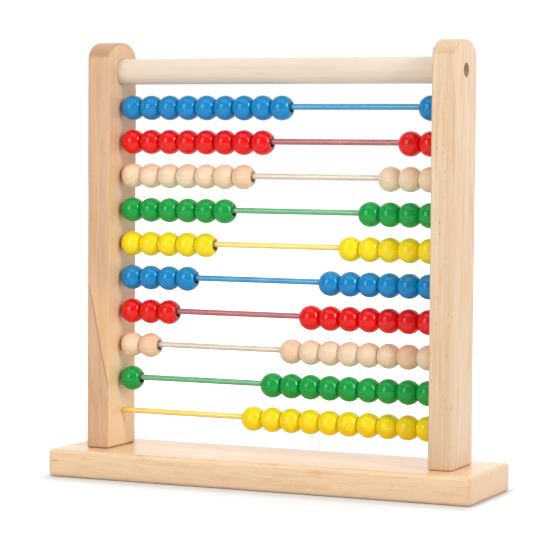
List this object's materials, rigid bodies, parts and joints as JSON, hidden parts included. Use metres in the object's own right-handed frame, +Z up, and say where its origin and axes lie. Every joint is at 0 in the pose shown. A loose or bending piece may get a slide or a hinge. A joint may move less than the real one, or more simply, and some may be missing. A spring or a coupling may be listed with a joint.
{
  "type": "counting frame abacus",
  "caption": "Wooden counting frame: two posts on a board carry a round top rail and painted steel rods with sliding wooden beads.",
  "frame": {"origin": "middle of the board's underside, on the surface that it stands on", "axes": "+X along the rods from the left post to the right post as seen from the front, +Y from front to back, +Z up"},
  "size_m": [0.306, 0.078, 0.2975],
  "materials": {
    "beech": "satin clear lacquer",
    "rail_wood": "satin clear lacquer",
    "screw_steel": "bright zinc",
    "blue_beads": "gloss enamel on wood",
    "blue_rod_paint": "gloss enamel on steel",
    "red_beads": "gloss enamel on wood",
    "red_rod_paint": "gloss enamel on steel",
    "natural_beads": "smooth clear lacquer",
    "natural_rod_paint": "gloss enamel on steel",
    "green_beads": "gloss enamel on wood",
    "green_rod_paint": "gloss enamel on steel",
    "yellow_beads": "gloss enamel on wood",
    "yellow_rod_paint": "gloss enamel on steel"
  },
  "bodies": {
    "frame": {"base": "beech", "left_post": "beech", "right_post": "beech", "top_rail": "rail_wood", "rail_screw_left": "screw_steel", "rail_screw_right": "screw_steel", "base_screw_left_front": "screw_steel", "base_screw_left_back": "screw_steel", "base_screw_right_front": "screw_steel", "base_screw_right_back": "screw_steel", "row_01_rod": "blue_rod_paint", "row_02_rod": "red_rod_paint", "row_03_rod": "natural_rod_paint", "row_04_rod": "green_rod_paint", "row_05_rod": "yellow_rod_paint", "row_06_rod": "blue_rod_paint", "row_07_rod": "red_rod_paint", "row_08_rod": "natural_rod_paint", "row_09_rod": "green_rod_paint", "row_10_rod": "yellow_rod_paint"},
    "row_01_left_beads": {"row_01_left_lead_bead": "blue_beads", "row_01_left_bead_stack": "blue_beads"},
    "row_01_right_beads": {"row_01_right_lead_bead": "blue_beads"},
    "row_02_left_beads": {"row_02_left_lead_bead": "red_beads", "row_02_left_bead_stack": "red_beads"},
    "row_02_right_beads": {"row_02_right_lead_bead": "red_beads", "row_02_right_bead_stack": "red_beads"},
    "row_03_left_beads": {"row_03_left_lead_bead": "natural_beads", "row_03_left_bead_stack": "natural_beads"},
    "row_03_right_beads": {"row_03_right_lead_bead": "natural_beads", "row_03_right_bead_stack": "natural_beads"},
    "row_04_left_beads": {"row_04_left_lead_bead": "green_beads", "row_04_left_bead_stack": "green_beads"},
    "row_04_right_beads": {"row_04_right_lead_bead": "green_beads", "row_04_right_bead_stack": "green_beads"},
    "row_05_left_beads": {"row_05_left_lead_bead": "yellow_beads", "row_05_left_bead_stack": "yellow_beads"},
    "row_05_right_beads": {"row_05_right_lead_bead": "yellow_beads", "row_05_right_bead_stack": "yellow_beads"},
    "row_06_left_beads": {"row_06_left_lead_bead": "blue_beads", "row_06_left_bead_stack": "blue_beads"},
    "row_06_right_beads": {"row_06_right_lead_bead": "blue_beads", "row_06_right_bead_stack": "blue_beads"},
    "row_07_left_beads": {"row_07_left_lead_bead": "red_beads", "row_07_left_bead_stack": "red_beads"},
    "row_07_right_beads": {"row_07_right_lead_bead": "red_beads", "row_07_right_bead_stack": "red_beads"},
    "row_08_left_beads": {"row_08_left_lead_bead": "natural_beads", "row_08_left_bead_stack": "natural_beads"},
    "row_08_right_beads": {"row_08_right_lead_bead": "natural_beads", "row_08_right_bead_stack": "natural_beads"},
    "row_09_left_beads": {"row_09_left_lead_bead": "green_beads"},
    "row_09_right_beads": {"row_09_right_lead_bead": "green_beads", "row_09_right_bead_stack": "green_beads"},
    "row_10_right_beads": {"row_10_right_lead_bead": "yellow_beads", "row_10_right_bead_stack": "yellow_beads"}
  },
  "joints": [
    {"name": "row_01_left_slide", "type": "slide", "parent": "frame", "child": "row_01_left_beads", "axis": [1, 0, 0], "range_m": [0, 0.0922]},
    {"name": "row_01_right_slide", "type": "slide", "parent": "frame", "child": "row_01_right_beads", "axis": [1, 0, 0], "range_m": [-0.0922, 0]},
    {"name": "row_02_left_slide", "type": "slide", "parent": "frame", "child": "row_02_left_beads", "axis": [1, 0, 0], "range_m": [0, 0.0922]},
    {"name": "row_02_right_slide", "type": "slide", "parent": "frame", "child": "row_02_right_beads", "axis": [1, 0, 0], "range_m": [-0.0922, 0]},
    {"name": "row_03_left_slide", "type": "slide", "parent": "frame", "child": "row_03_left_beads", "axis": [1, 0, 0], "range_m": [0, 0.0922]},
    {"name": "row_03_right_slide", "type": "slide", "parent": "frame", "child": "row_03_right_beads", "axis": [1, 0, 0], "range_m": [-0.0922, 0]},
    {"name": "row_04_left_slide", "type": "slide", "parent": "frame", "child": "row_04_left_beads", "axis": [1, 0, 0], "range_m": [0, 0.0922]},
    {"name": "row_04_right_slide", "type": "slide", "parent": "frame", "child": "row_04_right_beads", "axis": [1, 0, 0], "range_m": [-0.0922, 0]},
    {"name": "row_05_left_slide", "type": "slide", "parent": "frame", "child": "row_05_left_beads", "axis": [1, 0, 0], "range_m": [0, 0.0922]},
    {"name": "row_05_right_slide", "type": "slide", "parent": "frame", "child": "row_05_right_beads", "axis": [1, 0, 0], "range_m": [-0.0922, 0]},
    {"name": "row_06_left_slide", "type": "slide", "parent": "frame", "child": "row_06_left_beads", "axis": [1, 0, 0], "range_m": [0, 0.0922]},
    {"name": "row_06_right_slide", "type": "slide", "parent": "frame", "child": "row_06_right_beads", "axis": [1, 0, 0], "range_m": [-0.0922, 0]},
    {"name": "row_07_left_slide", "type": "slide", "parent": "frame", "child": "row_07_left_beads", "axis": [1, 0, 0], "range_m": [0, 0.0922]},
    {"name": "row_07_right_slide", "type": "slide", "parent": "frame", "child": "row_07_right_beads", "axis": [1, 0, 0], "range_m": [-0.0922, 0]},
    {"name": "row_08_left_slide", "type": "slide", "parent": "frame", "child": "row_08_left_beads", "axis": [1, 0, 0], "range_m": [0, 0.0922]},
    {"name": "row_08_right_slide", "type": "slide", "parent": "frame", "child": "row_08_right_beads", "axis": [1, 0, 0], "range_m": [-0.0922, 0]},
    {"name": "row_09_left_slide", "type": "slide", "parent": "frame", "child": "row_09_left_beads", "axis": [1, 0, 0], "range_m": [0, 0.0922]},
    {"name": "row_09_right_slide", "type": "slide", "parent": "frame", "child": "row_09_right_beads", "axis": [1, 0, 0], "range_m": [-0.0922, 0]},
    {"name": "row_10_right_slide", "type": "slide", "parent": "frame", "child": "row_10_right_beads", "axis": [1, 0, 0], "range_m": [-0.0922, 0]}
  ]
}
